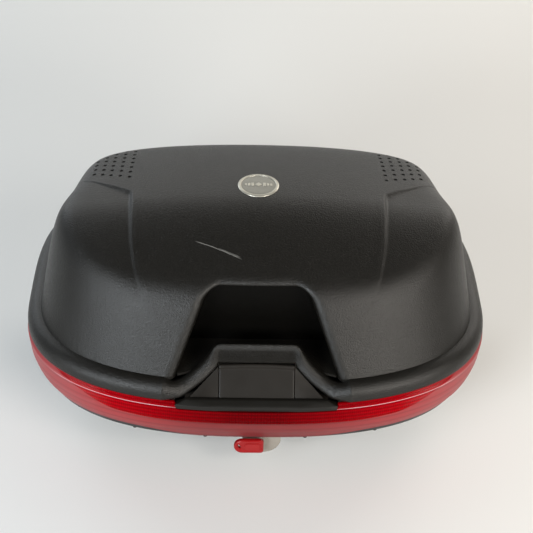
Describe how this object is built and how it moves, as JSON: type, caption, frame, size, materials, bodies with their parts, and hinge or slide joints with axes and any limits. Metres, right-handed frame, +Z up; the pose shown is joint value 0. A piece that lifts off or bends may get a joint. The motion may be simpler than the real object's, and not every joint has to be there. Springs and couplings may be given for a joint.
{
  "type": "motorcycle top case",
  "caption": "Hard top case with a hinged domed lid, latch plate under a handle arch, key lock, wrap-round red reflector and a rack recess underneath.",
  "frame": {"origin": "on the resting plane of the rubber pads, under the middle of the case's width and depth", "axes": "+Z up, -Y the latch and reflector side, +Y the hinge side, X across the width"},
  "size_m": [0.5831, 0.432, 0.299],
  "materials": {
    "lid_plastic": "fine grained black polypropylene",
    "tub_plastic": "fine grained black polypropylene",
    "inner_plastic": "plain charcoal moulding",
    "sill_plastic": "satin dark grey moulding",
    "plate_plastic": "satin charcoal moulding",
    "red_lens": "clear red acrylic",
    "red_prism": "ribbed red reflector sheet",
    "red_key": "bright red key head",
    "badge_silver": "satin silver badge",
    "zinc": "cast zinc, warm grey",
    "steel": "zinc plated steel",
    "spring_steel": "spring steel",
    "rubber_seal": "soft black rubber"
  },
  "bodies": {
    "case_base": {"lower_shell": "tub_plastic", "reflector_lens": "red_lens", "reflector_backing": "red_prism", "reflector_screws": "steel", "sill_trim": "sill_plastic", "latch_housing": "plate_plastic", "latch_housing_screws": "steel", "lever_pivot_pin": "steel", "lever_spring": "spring_steel", "latch_inner_cover": "inner_plastic", "lid_seal": "rubber_seal", "hinge_pins": "steel", "hinge_pin_clips": "spring_steel", "lock_housing": "zinc", "lock_retaining_clip": "spring_steel", "base_hook_plate": "steel", "base_hook_screws": "steel", "base_release_guides": "inner_plastic", "base_release_spring": "spring_steel", "base_pads": "rubber_seal", "floor_cover": "inner_plastic", "floor_cover_screws": "steel"},
    "lid": {"lid_shell": "lid_plastic", "badge": "badge_silver", "striker_plate": "steel", "striker_screws": "steel"},
    "latch": {"latch_lever": "plate_plastic", "latch_hook": "steel", "latch_hook_screws": "steel"},
    "lock_core": {"lock_cylinder": "zinc", "lock_cam": "steel", "lock_cam_screw": "steel"},
    "lock_rod": {"lock_bar": "steel"},
    "key": {"key_blade": "steel"},
    "key_head": {"key_bow": "red_key", "key_bow_pin": "steel"},
    "base_release": {"base_release_slider": "inner_plastic"}
  },
  "joints": [
    {"name": "lid_hinge", "type": "hinge", "parent": "case_base", "child": "lid", "pos_m": [0, 0.214, 0.133], "axis": [-1, 0, 0], "range_deg": [0, 80]},
    {"name": "latch_pivot", "type": "hinge", "parent": "case_base", "child": "latch", "pos_m": [0, -0.19328, 0.13183], "axis": [1, 0, 0], "range_deg": [0, 45]},
    {"name": "lock_turn", "type": "hinge", "parent": "case_base", "child": "lock_core", "pos_m": [0.008, -0.188, 0.048], "axis": [0, -1, 0], "range_deg": [0, 90]},
    {"name": "lock_bar_lift", "type": "slide", "parent": "case_base", "child": "lock_rod", "axis": [0, 0, 1], "range_m": [0, 0.01132]},
    {"name": "key_slide", "type": "slide", "parent": "lock_core", "child": "key", "axis": [0, -1, 0], "range_m": [0, 0.03]},
    {"name": "key_fold", "type": "hinge", "parent": "key", "child": "key_head", "pos_m": [0.008, -0.1962, 0.048], "axis": [0, 0, 1], "range_deg": [0, 90]},
    {"name": "base_release_slide", "type": "slide", "parent": "case_base", "child": "base_release", "axis": [0, -1, 0], "range_m": [0, 0.008]}
  ],
  "couplings": [
    {"joint": "lock_bar_lift", "follows": "lock_turn", "m_per_rad": 0.0072025}
  ]
}
